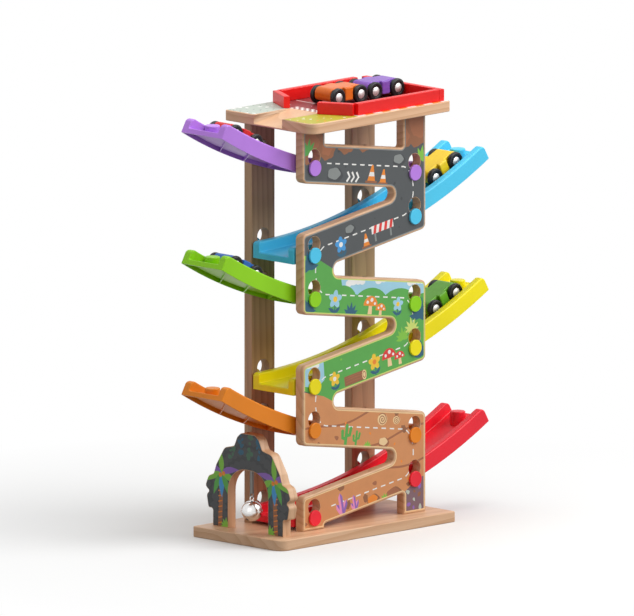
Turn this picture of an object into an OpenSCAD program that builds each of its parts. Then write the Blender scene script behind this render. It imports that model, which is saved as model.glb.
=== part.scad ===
// Click clack track: a wooden tower with six curved ramps, six small cars and a bell in an arch.
// Millimetres. X runs along the tower, Y to the back, Z up; the origin is under the middle of the tower.

/* [Boards] */
// Thickness of every wooden board
board_t = 12; // [9:0.5:16]
// Length of the base board
base_l = 271.4; // [250:0.2:300]
// Depth of the base board
base_d = 138; // [136:1:170]
// Distance from the tower's middle to the base board's right end
base_right = 117.7; // [110:0.1:130]
// Length of the top board
top_l = 215.2; // [210:0.2:240]
// Depth of the top board
top_d = 136; // [132:1:160]
// Distance from the tower's middle to the top board's right end
top_right = 110.7; // [108:0.1:125]
// Radius of the left front corner of the base and top boards
lead_r = 12; // [4:0.5:20]
// Radius of the other corners of the base and top boards
corner_r = 2.5; // [1:0.5:6]
// Width of a rear post
post_w = 36; // [30:1:40]
// Width of the front panel
panel_w = 191.4; // [180:0.2:200]
// Distance of the ramps' middle behind the boards' middle
ramp_y = 1; // [-2:0.5:2]

/* [Ramps] */
// Height from one ramp to the next
level_pitch = 73.3; // [68:0.1:85]
// Gap under the lowest ramp's low end
low_gap = 3.9; // [2:0.1:10]
// Height of the top board over the highest peg
headroom = 42.6; // [36:0.1:60]
// Horizontal length of a ramp
ramp_run = 304; // [280:1:320]
// Width of a ramp
ramp_w = 64; // [60:0.5:70]
// How far a ramp's low end lies past the tower's middle
low_over = 96; // [90:0.5:104]
// Radius of a ramp's lower edge
under_r = 610; // [580:1:700]
// Height of a ramp's side
side_h = 18.5; // [17:0.1:22]
// Height of the floor over the lower edge, at the low end
floor_h = 7.1; // [6:0.1:8]
// Radius of the floor that the cars run on
floor_r = 610; // [590:1:640]
// Thickness of a ramp's double side wall
wall_t = 9.4; // [8:0.1:11]
// Thickness of the ramp's moulded skin
skin_t = 2.2; // [1.5:0.1:3]
// Thickness of the ramp's floor
floor_t = 2.6; // [2:0.1:4]
// Thickness of a rib under the floor
rib_t = 1.2; // [0.8:0.1:2]
// Distance between ribs
rib_pitch = 37; // [30:1:50]
// How far a rib runs along the ramp as it crosses it
rib_skew = 54; // [20:1:70]
// Radius of the wall's corner at the outer end
outer_round = 6; // [2:0.5:7]
// Radius of the wall's corner at the low end
low_round = 4; // [1:0.5:6]
// Diameter of the stop at the outer end
stop_d = 17; // [12:0.5:20]
// Distance of the stop from the floor's outer edge
stop_back = 5.7; // [2:0.1:8]
// Height of the stop's level top over the floor's outer edge
stop_h = 4; // [1:0.1:6]

/* [Pegs] */
// Distance of the low peg from the ramp's low end
peg_in = 18; // [16:0.5:22]
// Height of the low peg over the ramp's low end
peg_h = 9.8; // [8:0.1:10]
// Height of the high peg over the low peg
peg_rise = 24.3; // [22:0.1:26]
// Diameter of a peg's head
peg_head_d = 17.7; // [14:0.1:19]
// Thickness of a peg's head
peg_head_t = 2.5; // [1.5:0.1:4]
// Radius of a peg's rim
peg_rim_r = 1; // [0.4:0.1:1.4]
// Diameter of a peg's neck
peg_neck_d = 9.5; // [8:0.1:11]
// Diameter of the stem pressed into the ramp
peg_stem_d = 7; // [5:0.1:8]
// Length of the stem pressed into the ramp
peg_stem_l = 6; // [4:0.1:7]
// Height of a keyhole's round hole over its peg
keyhole_rise = 12; // [11:0.5:14]

/* [Panel] */
// Height of a band's upper edge over its peg line
band_up = 27; // [25:0.5:30]
// Depth of a band's lower edge under its peg line
band_down = 18; // [16:0.5:20]
// Depth of the lowest band's lower edge under its peg line
foot_down = 11; // [9:0.5:12]
// Radius of a pocket's closed end
pocket_r = 8; // [5:0.5:9]
// Radius of a pocket's mouth corners
mouth_r = 7; // [3:0.5:9]
// Half the width of the window under the top board
window_half = 60.8; // [50:0.2:70]
// Half the width of the gap between the panel's feet
foot_half = 61.5; // [50:0.5:70]
// Radius of the corners of the window and of the foot gap
inner_r = 3; // [1:0.5:5]

/* [Top] */
// Distance from the tower's middle to the start of the exit groove
groove_start = 48; // [40:1:56]
// Depth of the groove at the board's left end
groove_depth = 10.2; // [6:0.1:11]
// Width of the groove
groove_w = 44; // [42:0.5:50]
// Height of a fence bar
fence_h = 13.5; // [10:0.5:20]
// Thickness of a fence bar
fence_t = 7.2; // [5:0.1:9]
// Margin of the fence to the board's edges
fence_margin = 5; // [3:0.5:8]
// Length of a funnel bar
funnel_l = 41; // [30:0.5:42]
// Angle of a funnel bar to the board's end
funnel_angle = 28; // [20:1:35]
// Half the width of the funnel's mouth
funnel_half = 26; // [24:0.5:28]
// Distance from the tower's middle to the funnel's mouth
funnel_x = 53.9; // [48:0.1:56]
// Gap between the ends of neighbouring fence bars
bar_gap = 0.4; // [0.2:0.1:4]
// Gap between the back and the right fence bar
corner_gap = 8.5; // [1:0.5:15]
// How far the right fence bar ends short of the back bar's outer face
corner_short = 5; // [0:0.5:12]

/* [Arch] */
// Distance from the arch's left face to the base board's left end
arch_in = 19.3; // [10:0.1:22]
// Width of the arch's opening
arch_opening = 62; // [56:1:66]
// Height of the arch's opening over the base board
arch_rise = 68; // [60:0.5:74]
// Height of the arch over the base board
arch_h = 108.5; // [104:0.5:112]
// Width of an arch pillar
pillar_w = 23.6; // [20:0.2:26]
// Distance of the arch's middle behind the ramps' middle
arch_off = 1; // [-2:0.5:3]

/* [Bell] */
// Diameter of the bell
bell_d = 23.2; // [18:0.2:26]
// Wall thickness of the bell
bell_t = 0.8; // [0.5:0.1:1.2]
// Height of the bell's middle over the base board
bell_z = 22.3; // [18:0.1:26]
// Diameter of the hanging rod
rod_d = 4.5; // [3:0.1:6]
// Length of the rod inside the arch
rod_in = 14; // [8:0.5:20]
// Mean radius of the rod's eye and of the bell's loop
eye_r = 2.6; // [2.4:0.1:3.5]
// Diameter of the eye's and the loop's wire
eye_wire_d = 1.4; // [1:0.1:1.5]
// Diameter of the loose ball in the bell
ball_d = 6; // [4:0.2:8]
// Width of the slot under the bell
bell_slot = 2; // [1:0.1:3]
// Diameter of the holes at the slot's ends
bell_hole_d = 3.6; // [2.5:0.1:4]
// Angle of those holes to the bell's axis
bell_hole_angle = 40; // [30:1:50]

/* [Cars] */
// Diameter of a wheel
wheel_d = 20.5; // [18:0.1:22]
// Width of a wheel
wheel_w = 5.2; // [4:0.1:6]
// Radius of a wheel's shoulders
shoulder_r = 1.6; // [0.5:0.1:2]
// Depth of the dish round an axle's head
wheel_dish = 0.5; // [0.2:0.1:1]
// Width of the ring between an axle's head and the dish's edge
dish_ring = 1; // [0.5:0.1:2]
// Distance between the axles
wheelbase = 34.5; // [32:0.1:38]
// Distance between the middles of the two wheels on an axle
track = 31.4; // [29:0.1:34]
// Length of a car's body
car_l = 52; // [48:0.5:58]
// Height of a car's top over the track
car_top = 20; // [17:0.1:22]
// Height of a car's underside over the track
car_under = 5; // [3:0.1:7]
// Width of the car's middle block
car_mid_w = 33; // [29:0.5:36]
// Radius of the car's nose and tail
nose_r = 7; // [3:0.5:7]
// Radius of the car's lower edge
belly_r = 5; // [0.5:0.5:6]
// Radius of the middle block's corners
mid_r = 1; // [0.5:0.1:2]
// Diameter of an axle
axle_d = 3; // [2:0.1:4]
// Diameter of an axle's domed head
dome_d = 10; // [7:0.1:12]
// Height of an axle's domed head
dome_h = 1.2; // [0.8:0.1:2]
// Angle up the ramp at which a car is parked
car_park = 24.8; // [20:0.1:25]
// Distance of the top cars' lane from the ramps' middle
lane_off = 6.5; // [0:0.5:10]

/* [Fasteners] */
// Diameter of a base screw
screw_d = 4; // [3:0.1:5]
// Length of a base screw
screw_l = 27; // [20:1:30]
// Diameter of a base screw's head
screw_head_d = 8; // [6:0.1:9]
// Diameter of a dowel under the top board
dowel_d = 6; // [5:0.5:8]
// Length of a dowel under the top board
dowel_l = 22; // [16:1:24]
// Length of a dowel inside the top board
dowel_in = 7; // [5:0.5:8]
// Distance of a base screw from the panel's edge
screw_edge = 5.7; // [5:0.1:8]
// Depth of a screw's head under the base board's lower face
screw_sink = 0.4; // [0.2:0.1:1]

/* [Clearances] */
// Gap between a ramp and the boards beside it
side_gap = 1.6; // [0.5:0.1:3]
// Gap between a peg's neck and its slot
neck_gap = 0.25; // [0.1:0.05:0.5]
// Gap between a peg's head and its keyhole's round hole
head_gap = 0.35; // [0.2:0.05:1]
// Gap under a peg's head
seat_gap = 0.2; // [0.1:0.05:0.5]
// Gap between a wheel and the track under it
ride_gap = 0.3; // [0.2:0.05:0.5]
// Gap between a wheel and the body beside it
wheel_gap = 0.8; // [0.4:0.1:1.2]
// Radial running gap of an axle in the body
axle_gap = 0.06; // [0.02:0.01:0.1]
// Radial gap of a pressed or glued fit
press_gap = 0.03; // [0.02:0.01:0.05]
// Gap between the rod's eye and the bell's loop
loop_gap = 0.3; // [0.2:0.05:0.4]
// Gap between parked cars and what they stand next to
park_gap = 1.2; // [0.8:0.1:3]

/* [Hidden] */
$fn = 64;
curve_fn = 1440;
eps = 1;
ramp_names = ["red", "orange", "yellow", "green", "blue", "purple"];
ramp_count = len(ramp_names);
ramp_tints = ["crimson", "darkorange", "gold", "yellowgreen", "deepskyblue", "mediumpurple"];
car_names = ["red", "yellow", "blue", "green", "orange", "purple"];
car_tints = ["red", "gold", "royalblue", "limegreen", "darkorange", "mediumpurple"];
car_levels = [5, 4, 3, 2];
wood = "burlywood";

// Places across the tower
arch_y = ramp_y + arch_off;
panel_back = ramp_y - ramp_w / 2 - side_gap;
panel_mid = panel_back - board_t / 2;
post_front = ramp_y + ramp_w / 2 + side_gap;
post_mid = post_front + board_t / 2;
post_x = low_over - peg_in;
arch_x = base_right - base_l + arch_in + board_t / 2;
screw_x = panel_w / 2 - screw_edge;

// Heights
ramp_base = board_t + low_gap;
top_z = ramp_base + (ramp_count - 1) * level_pitch + peg_h + peg_rise + headroom;
deck_z = top_z + board_t;

// The ramp's section: lower edge and floor are arcs whose lowest points are at the low end
channel_w = ramp_w - 2 * wall_t;
floor_c = floor_h + floor_r;
end_angle = asin(ramp_run / under_r);
arc_offset = under_r - floor_c;
floor_end = cos(end_angle) * arc_offset + sqrt(pow(floor_r, 2) - pow(sin(end_angle) * arc_offset, 2));
floor_end_x = floor_end * sin(end_angle);
floor_end_z = under_r - floor_end * cos(end_angle);
rib_count = floor(ramp_run / rib_pitch);
boss_r = peg_stem_d / 2 + skin_t;
ramp_top_z = floor_end_z + 2 * side_h;

// Pegs and keyholes
peg_xs = [peg_in, 2 * low_over - peg_in];
peg_zs = [peg_h, peg_h + peg_rise];
peg_neck_l = side_gap + board_t + seat_gap;

// The panel's zigzag of bands follows the pegs
band_slope = peg_rise / 2 / post_x;
panel_half = panel_w / 2;
pocket_apex = (level_pitch - band_up - band_down) / 2 / band_slope;

// The bell hangs from the rod's eye
bell_c = board_t + bell_z;
loop_z = bell_c + bell_d / 2 + eye_r - eye_wire_d / 4;
hinge_z = loop_z + eye_r - eye_wire_d - loop_gap;
eye_z = hinge_z + eye_r;
rod_bottom = eye_z + eye_r - eye_wire_d / 2;
rod_top = board_t + arch_rise + rod_in;

// The front and back fence bars keep clear of the funnel bars' ends and of the right bar
fence_inner_x = top_right - fence_margin - fence_t;
bar_start = -funnel_x + funnel_l * sin(funnel_angle) + fence_t * cos(funnel_angle) + bar_gap;
bar_end = fence_inner_x - bar_gap;

// Cars
wheel_r = wheel_d / 2;
car_half = max(car_l, wheelbase + wheel_d) / 2;
car_narrow_w = track - wheel_w - 2 * wheel_gap;
mid_l = wheelbase - wheel_d - 2 * wheel_gap;
axle_l = track + wheel_w - 2 * wheel_dish;
dome_sphere = (pow(dome_d / 2, 2) + pow(dome_h, 2)) / 2 / dome_h;
axle_sag = floor_r - sqrt(pow(floor_r - wheel_r, 2) - pow(wheelbase / 2, 2)) - wheel_r;
top_car_x = [for (i = [1, 0]) fence_inner_x - park_gap - car_half - i * (2 * car_half + 2 * park_gap)];

// Each base screw and dowel stands on one of these
leg_places = [for (x = [-screw_x, screw_x]) for (y = [panel_mid, post_mid]) [x, y]];
pillar_places = [for (s = [-1, 1]) [arch_x, arch_y + s * (arch_opening + pillar_w) / 2]];
screw_places = concat(leg_places, pillar_places);
dowel_places = [for (x = [-post_x, post_x]) for (y = [panel_mid, post_mid]) [x, y]];

// Points of a closed outline; each corner is [x, y, radius]
function rounded(corners, steps = 10) = [
    for (i = [0 : len(corners) - 1])
        let (before = corners[(i + len(corners) - 1) % len(corners)], after = corners[(i + 1) % len(corners)])
            each corner_arc(flat(corners[i]), flat(before), flat(after), corners[i][2], steps)
];

function flat(corner) = [corner.x, corner.y];

// One rounded corner at p, between the neighbours a and b
function corner_arc(p, a, b, r, steps) =
    let (u = (a - p) / norm(a - p), v = (b - p) / norm(b - p), half = acos(u * v) / 2)
    r == 0 ? [p] :
    let (
        centre = p + (u + v) / norm(u + v) * r / sin(half),
        start = p + u * r / tan(half) - centre,
        end = p + v * r / tan(half) - centre,
        from = atan2(start.y, start.x),
        turn = (atan2(end.y, end.x) - from + 540) % 360 - 180
    )
    [for (k = [0 : steps]) centre + r * [cos(from + turn * k / steps), sin(from + turn * k / steps)]];

// Which way a ramp's outer end points: 1 is right, -1 is left
function side(level) = level % 2 == 0 ? 1 : -1;

function ramp_z(level) = ramp_base + level * level_pitch;

// Height of the peg line of a level at x
function peg_line(level, x) = ramp_z(level) + peg_h + peg_rise / 2 + side(level) * band_slope * x;

// Height of the left or right peg of a level; at is -1 or 1
function peg_z(level, at) = peg_line(level, at * post_x);

// A pocket between a level and the one above it, opening towards s
function pocket(level, s) = [
    [s * panel_half, peg_line(level, s * panel_half) + band_up, mouth_r],
    [-s * pocket_apex, peg_line(level, -s * pocket_apex) + band_up, pocket_r],
    [s * panel_half, peg_line(level + 1, s * panel_half) - band_down, mouth_r]
];

module along_y(h, r) {
    rotate([90, 0, 0])
        cylinder(r = r, h = h, center = true);
}

module board(x_left, x_right, depth, z) {
    translate([0, 0, z])
        linear_extrude(board_t)
            polygon(rounded([
                [x_left, -depth / 2, lead_r],
                [x_right, -depth / 2, corner_r],
                [x_right, depth / 2, corner_r],
                [x_left, depth / 2, corner_r]
            ]));
}

module base_board() {
    color(wood)
        difference() {
            board(base_right - base_l, base_right, base_d, 0);
            for (p = screw_places)
                translate([p.x, p.y, 0]) {
                    translate([0, 0, -eps])
                        cylinder(d = screw_d + 2 * press_gap, h = board_t + 2 * eps);
                    screw_head(press_gap);
                    translate([0, 0, -eps])
                        cylinder(d = screw_head_d + 2 * press_gap, h = screw_sink + eps);
                }
        }
}

// Countersunk head, sunk into the base board from below
module screw_head(gap) {
    translate([0, 0, screw_sink])
        cylinder(d1 = screw_head_d + 2 * gap, d2 = screw_d + 2 * gap, h = (screw_head_d - screw_d) / 2);
}

module base_screws() {
    color("silver")
        for (p = screw_places)
            translate([p.x, p.y, 0])
                union() {
                    screw_head(0);
                    translate([0, 0, screw_sink])
                        cylinder(d = screw_d, h = screw_l);
                }
}

// Pilot holes for the base screws, and sockets for the dowels, in what stands between the boards
module leg_holes() {
    for (p = screw_places)
        translate([p.x, p.y, 0])
            cylinder(d = screw_d + 2 * press_gap, h = screw_sink + screw_l + eps);
    for (p = dowel_places)
        translate([p.x, p.y, top_z - dowel_l + dowel_in - eps])
            cylinder(d = dowel_d + 2 * press_gap, h = dowel_l);
}

module top_dowels() {
    color(wood)
        for (p = dowel_places)
            translate([p.x, p.y, top_z - dowel_l + dowel_in])
                cylinder(d = dowel_d, h = dowel_l);
}

module top_board() {
    left = top_right - top_l;
    color(wood)
        difference() {
            board(left, top_right, top_d, top_z);
            for (p = dowel_places)
                translate([p.x, p.y, top_z - eps])
                    cylinder(d = dowel_d + 2 * press_gap, h = dowel_in + 2 * eps);
            translate([0, ramp_y + groove_w / 2, deck_z])
                rotate([90, 0, 0])
                    linear_extrude(groove_w)
                        polygon([
                            [-groove_start, 0],
                            [left, -groove_depth],
                            [left - eps, -groove_depth],
                            [left - eps, eps],
                            [-groove_start, eps]
                        ]);
        }
}

// Keyholes at one side of the tower, along Y through a board whose middle is at y
module keyholes(at, y) {
    slot_w = peg_neck_d + 2 * neck_gap;
    for (level = [0 : ramp_count - 1])
        translate([at * post_x, y, peg_z(level, at)]) {
            along_y(board_t + 2 * eps, slot_w / 2);
            translate([0, 0, keyhole_rise / 2])
                cube([slot_w, board_t + 2 * eps, keyhole_rise], center = true);
            translate([0, 0, keyhole_rise])
                along_y(board_t + 2 * eps, peg_head_d / 2 + head_gap);
        }
}

module front_panel() {
    top_level = ramp_count - 1;
    window = [for (x = [-window_half, window_half]) [x, peg_line(top_level, x) + band_up, inner_r]];
    gap = [for (x = [foot_half, -foot_half]) [x, peg_line(0, x) - foot_down, inner_r]];
    right_pockets = [for (level = [top_level - 2 : -2 : 0]) for (c = [2, 1, 0]) pocket(level, 1)[c]];
    left_pockets = [for (level = [0 : 2 : top_level - 1]) each pocket(level, -1)];
    outline = concat(
        [[-panel_half, top_z, 0], [-window_half, top_z, 0]],
        window,
        [[window_half, top_z, 0], [panel_half, top_z, 0]],
        right_pockets,
        [[panel_half, board_t, 0], [foot_half, board_t, 0]],
        gap,
        [[-foot_half, board_t, 0], [-panel_half, board_t, 0]],
        left_pockets
    );
    color(wood)
        difference() {
            translate([0, panel_back, 0])
                rotate([90, 0, 0])
                    linear_extrude(board_t)
                        polygon(rounded(outline));
            for (at = [-1, 1])
                keyholes(at, panel_mid);
            leg_holes();
        }
}

module rear_post(at) {
    color(wood)
        difference() {
            translate([at * post_x - post_w / 2, post_front, board_t])
                cube([post_w, board_t, top_z - board_t]);
            keyholes(at, post_mid);
            leg_holes();
        }
}

// Puts a ramp's own frame, low end at x = 0 and running up along +x, at its level
module at_level(level) {
    translate([-side(level) * low_over, ramp_y, ramp_z(level)])
        rotate([0, 0, side(level) > 0 ? 0 : 180])
            children();
}

// Frame at the ramp's outer end: x = 0 is the end face and z is the height over the lower edge
module at_outer_end() {
    translate([0, 0, under_r])
        rotate([0, -end_angle, 0])
            translate([0, 0, -under_r])
                children();
}

// The round solid whose surface is a ramp arc with its lowest point at the low end
module arc_drum(r, lowest, w) {
    translate([0, 0, lowest + r])
        rotate([90, 0, 0])
            cylinder(r = r, h = w, center = true, $fn = curve_fn);
}

// Everything between the low end and the outer end, short of both by trim
module between_ends(trim) {
    reach = 2 * ramp_run;
    intersection() {
        translate([trim, -ramp_w, -eps])
            cube([reach, 2 * ramp_w, ramp_top_z + eps]);
        at_outer_end()
            translate([-reach - trim, -ramp_w, -reach])
                cube([reach, 2 * ramp_w, 2 * reach]);
    }
}

module ramp_envelope(w) {
    intersection() {
        arc_drum(under_r, 0, w);
        between_ends(0);
    }
}

// Stop for the cars: an upright round stud with a level top
module ramp_stop() {
    intersection() {
        translate([floor_end_x - stop_back - stop_d / 2, 0, 0])
            cylinder(d = stop_d, h = floor_end_z + stop_h);
        ramp_envelope(stop_d + eps);
    }
}

// Hollow under the floor and inside the double walls, with its ribs and peg bosses left standing
module ramp_hollow() {
    difference() {
        intersection() {
            arc_drum(under_r + eps, -eps, ramp_w - 2 * skin_t);
            between_ends(skin_t);
        }
        arc_drum(floor_r + floor_t, floor_h - floor_t, channel_w + 2 * skin_t);
        arc_drum(under_r - side_h + skin_t, side_h - skin_t, ramp_w);
        for (i = [0 : rib_count - 1])
            translate([ramp_run - outer_round - i * rib_pitch - rib_skew / 2, 0, ramp_top_z / 2])
                rotate([0, 0, atan2(ramp_w, rib_skew)])
                    cube([2 * ramp_w, rib_t, ramp_top_z + 2 * eps], center = true);
        for (i = [0, 1])
            for (s = [-1, 1])
                translate([peg_xs[i], s * (ramp_w - wall_t) / 2, peg_zs[i]])
                    along_y(wall_t, boss_r);
    }
}

module ramp(level) {
    color(ramp_tints[level])
        at_level(level)
            difference() {
                union() {
                    difference() {
                        ramp_envelope(ramp_w);
                        arc_drum(under_r - side_h, side_h, ramp_w + 2 * eps);
                        arc_drum(floor_r, floor_h, channel_w);
                    }
                    ramp_stop();
                }
                ramp_hollow();
                at_outer_end()
                    mirror([1, 0, 0])
                        corner_cut(outer_round);
                corner_cut(low_round);
                for (i = [0, 1])
                    for (s = [-1, 1])
                        translate([peg_xs[i], s * (ramp_w - peg_stem_l) / 2, peg_zs[i]])
                            along_y(peg_stem_l + eps, peg_stem_d / 2 + press_gap);
            }
}

// Rounds the walls' top corner at an end face on x = 0
module corner_cut(r) {
    difference() {
        translate([-eps, -ramp_w, side_h - r])
            cube([r + eps, 2 * ramp_w, r + eps]);
        translate([r, 0, side_h - r])
            along_y(2 * ramp_w + eps, r);
    }
}

// A peg stands on y = 0 and points along +y, with its stem below
module peg() {
    rotate([-90, 0, 0])
        union() {
            translate([0, 0, -peg_stem_l + seat_gap])
                cylinder(d = peg_stem_d, h = peg_stem_l);
            cylinder(d = peg_neck_d, h = peg_neck_l + eps);
            translate([0, 0, peg_neck_l])
                rotate_extrude()
                    polygon(rounded([
                        [0, 0, 0],
                        [peg_head_d / 2, 0, 0],
                        [peg_head_d / 2, peg_head_t, peg_rim_r],
                        [0, peg_head_t, 0]
                    ], 5));
        }
}

module pegs(level) {
    color(ramp_tints[level])
        at_level(level)
            for (i = [0, 1])
                for (s = [0, 1])
                    translate([peg_xs[i], 0, peg_zs[i]])
                        mirror([0, s, 0])
                            translate([0, ramp_w / 2, 0])
                                peg();
}

// One half of the arch's outline, from its foot to its crest: [across, height, radius]
function arch_half() = let (in = arch_opening / 2, out = arch_opening / 2 + pillar_w) [
    [in, arch_rise, in - 4],
    [in, 0, 0],
    [out, 0, 0],
    [out, 20, 3],
    [out + 7, 19, 3],
    [out + 10, 34, 5],
    [out + 5, 38, 2],
    [out + 12, 43, 4],
    [out + 7, 55, 7],
    [out - 1, 58, 4],
    [out - 5, 69, 6],
    [out - 12, 80, 8],
    [out - 18, arch_h - 19, 9],
    [in - 9, arch_h - 16, 5],
    [in - 14, arch_h - 5, 6],
    [in - 20, arch_h, 7]
];

module arch() {
    half = arch_half();
    last = len(half) - 1;
    outline = concat(half, [for (i = [last : -1 : 0]) [-half[i].x, half[i].y, half[i][2]]]);
    color("dimgray")
        difference() {
            translate([arch_x - board_t / 2, arch_y, board_t])
                rotate([90, 0, 90])
                    linear_extrude(board_t)
                        polygon(rounded(outline));
            leg_holes();
            translate([arch_x, arch_y, rod_bottom])
                cylinder(d = rod_d + 2 * press_gap, h = rod_top + press_gap - rod_bottom);
        }
}

module wire_ring() {
    rotate_extrude()
        translate([eye_r, 0])
            circle(d = eye_wire_d);
}

module bell_rod() {
    color("gray")
        translate([arch_x, arch_y, 0])
            union() {
                translate([0, 0, rod_bottom])
                    cylinder(d = rod_d, h = rod_top - rod_bottom);
                translate([0, 0, eye_z])
                    rotate([0, 90, 0])
                        wire_ring();
            }
}

// Half of the bell: a round shell with a narrow flange on its rim, open downwards
module bell_shell() {
    difference() {
        union() {
            sphere(d = bell_d);
            cylinder(d = bell_d + 2 * bell_t, h = bell_t);
        }
        sphere(d = bell_d - 2 * bell_t);
        translate([0, 0, -bell_d])
            cylinder(d = 2 * bell_d, h = bell_d);
    }
}

module bell_top_shell() {
    color("silver")
        translate([arch_x, arch_y, bell_c])
            union() {
                bell_shell();
                translate([0, 0, loop_z - bell_c])
                    rotate([90, 0, 0])
                        wire_ring();
            }
}

module bell_bottom_shell() {
    slot_l = bell_d * sin(bell_hole_angle);
    color("silver")
        translate([arch_x, arch_y, bell_c])
            mirror([0, 0, 1])
                difference() {
                    bell_shell();
                    translate([-slot_l / 2, -bell_slot / 2, 0])
                        cube([slot_l, bell_slot, bell_d]);
                    for (s = [-1, 1])
                        rotate([0, s * bell_hole_angle, 0])
                            cylinder(d = bell_hole_d, h = bell_d);
                }
}

module bell_ball() {
    color("dimgray")
        translate([arch_x, arch_y, bell_c - bell_d / 2 + bell_t + press_gap + ball_d / 2])
            sphere(d = ball_d);
}

module fence_bar(length) {
    cube([length, fence_t, fence_h]);
}

module fence_front() {
    color("red")
        translate([bar_start, -top_d / 2 + fence_margin, deck_z])
            fence_bar(bar_end - bar_start);
}

module fence_back() {
    color("red")
        translate([bar_start, top_d / 2 - fence_margin - fence_t, deck_z])
            fence_bar(fence_inner_x - corner_gap - bar_start);
}

module fence_right() {
    color("red")
        translate([fence_inner_x + fence_t, -top_d / 2 + fence_margin, deck_z])
            rotate([0, 0, 90])
                fence_bar(top_d - 2 * fence_margin - corner_short);
}

// A funnel bar, from the mouth out to the corner; s is -1 at the front and 1 at the back
module fence_funnel(s) {
    color("red")
        translate([-funnel_x, ramp_y + s * funnel_half, deck_z])
            mirror([0, s > 0 ? 1 : 0, 0])
                rotate([0, 0, funnel_angle - 90])
                    fence_bar(funnel_l);
}

// A car stands on z = 0 and points along +x; ramp cars point downhill and top cars to the exit
module at_car(i) {
    if (i < len(car_levels))
        at_level(car_levels[i])
            translate([0, 0, floor_c])
                rotate([0, -car_park, 0])
                    translate([0, 0, axle_sag + ride_gap - floor_r])
                        rotate([0, 0, 180])
                            children();
    else
        translate([top_car_x[i - len(car_levels)], ramp_y + lane_off, deck_z + ride_gap])
            rotate([0, 0, 180])
                children();
}

module car_body(i) {
    color(car_tints[i])
        at_car(i)
            difference() {
                union() {
                    rotate([90, 0, 0])
                        linear_extrude(car_narrow_w, center = true)
                            polygon(rounded([
                                [-car_l / 2, car_under, belly_r],
                                [car_l / 2, car_under, belly_r],
                                [car_l / 2, car_top, nose_r],
                                [-car_l / 2, car_top, nose_r]
                            ]));
                    translate([0, 0, car_under])
                        linear_extrude(car_top - car_under)
                            polygon(rounded([
                                [-mid_l / 2, -car_mid_w / 2, mid_r],
                                [mid_l / 2, -car_mid_w / 2, mid_r],
                                [mid_l / 2, car_mid_w / 2, mid_r],
                                [-mid_l / 2, car_mid_w / 2, mid_r]
                            ], 4));
                }
                for (at = [-1, 1])
                    translate([at * wheelbase / 2, 0, wheel_r])
                        along_y(car_mid_w, axle_d / 2 + axle_gap);
            }
}

// Steel axle with a domed head at each end; at is 1 at the front and -1 at the rear
module car_axle(i, at) {
    color("silver")
        at_car(i)
            translate([at * wheelbase / 2, 0, wheel_r])
                union() {
                    along_y(axle_l, axle_d / 2);
                    for (s = [-90, 90])
                        rotate([s, 0, 0])
                            intersection() {
                                translate([0, 0, axle_l / 2 + dome_h - dome_sphere])
                                    sphere(r = dome_sphere);
                                translate([0, 0, axle_l / 2])
                                    cylinder(d = dome_d + eps, h = 2 * dome_h);
                            }
                }
}

module car_wheels(i, at) {
    dish_r = dome_d / 2 + dish_ring;
    color("black")
        at_car(i)
            for (s = [-1, 1])
                translate([at * wheelbase / 2, s * track / 2, wheel_r])
                    rotate([s * -90, 0, 0])
                        rotate_extrude()
                            polygon(rounded([
                                [axle_d / 2 + press_gap, -wheel_w / 2, 0],
                                [wheel_r, -wheel_w / 2, shoulder_r],
                                [wheel_r, wheel_w / 2, shoulder_r],
                                [dish_r + wheel_dish, wheel_w / 2, 0],
                                [dish_r, wheel_w / 2 - wheel_dish, 0],
                                [axle_d / 2 + press_gap, wheel_w / 2 - wheel_dish, 0]
                            ], 5));
}

base_board();
top_board();
front_panel();
rear_post(-1);  // rear_post_left
rear_post(1);  // rear_post_right
for (i = [0 : ramp_count - 1]) {
    ramp(i);
    pegs(i);
}
arch();
bell_rod();
bell_top_shell();
bell_bottom_shell();
bell_ball();
fence_front();
fence_back();
fence_right();
fence_funnel(-1);  // fence_funnel_front
fence_funnel(1);  // fence_funnel_back
base_screws();
top_dowels();
for (i = [0 : len(car_names) - 1]) {
    car_body(i);
    car_axle(i, 1);
    car_axle(i, -1);
    car_wheels(i, 1);
    car_wheels(i, -1);
}
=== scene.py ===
from bisect import bisect
from math import asin, cos, hypot, pi, radians, sin, sqrt, tau

import bmesh
import bpy
from mathutils import Matrix, Vector, geometry


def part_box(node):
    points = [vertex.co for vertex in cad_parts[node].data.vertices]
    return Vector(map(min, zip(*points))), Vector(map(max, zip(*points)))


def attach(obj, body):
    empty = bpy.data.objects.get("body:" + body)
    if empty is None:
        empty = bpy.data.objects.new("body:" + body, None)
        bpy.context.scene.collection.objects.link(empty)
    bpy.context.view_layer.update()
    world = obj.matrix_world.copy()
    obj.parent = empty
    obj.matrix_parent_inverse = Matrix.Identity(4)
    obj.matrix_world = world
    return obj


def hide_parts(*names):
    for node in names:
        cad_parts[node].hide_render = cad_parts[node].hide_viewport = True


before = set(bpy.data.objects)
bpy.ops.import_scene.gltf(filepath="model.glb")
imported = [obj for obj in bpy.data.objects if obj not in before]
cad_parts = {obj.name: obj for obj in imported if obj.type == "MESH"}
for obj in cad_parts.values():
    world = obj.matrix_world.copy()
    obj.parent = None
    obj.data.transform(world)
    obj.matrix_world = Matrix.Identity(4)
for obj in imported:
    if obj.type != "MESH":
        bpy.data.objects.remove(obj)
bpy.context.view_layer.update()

# The view: the toy is seen from its front left corner, a little from above,
# through a lens so long that parallel edges stay parallel.
mm = 0.001
photo_width_px = 634
pixel = 1.1 * mm
view_azimuth = radians(-45)
view_elevation = radians(10)
view_target = Vector((-29.1, 0, 248.6)) * mm
view_distance = 2.5

scene = bpy.context.scene
scene.view_settings.view_transform = "Standard"
towards_view = Vector((sin(view_azimuth) * cos(view_elevation), -cos(view_azimuth) * cos(view_elevation),
                       sin(view_elevation)))


def new_object(name, data):
    """An object linked to the scene."""
    obj = bpy.data.objects.new(name, data)
    scene.collection.objects.link(obj)
    return obj


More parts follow.
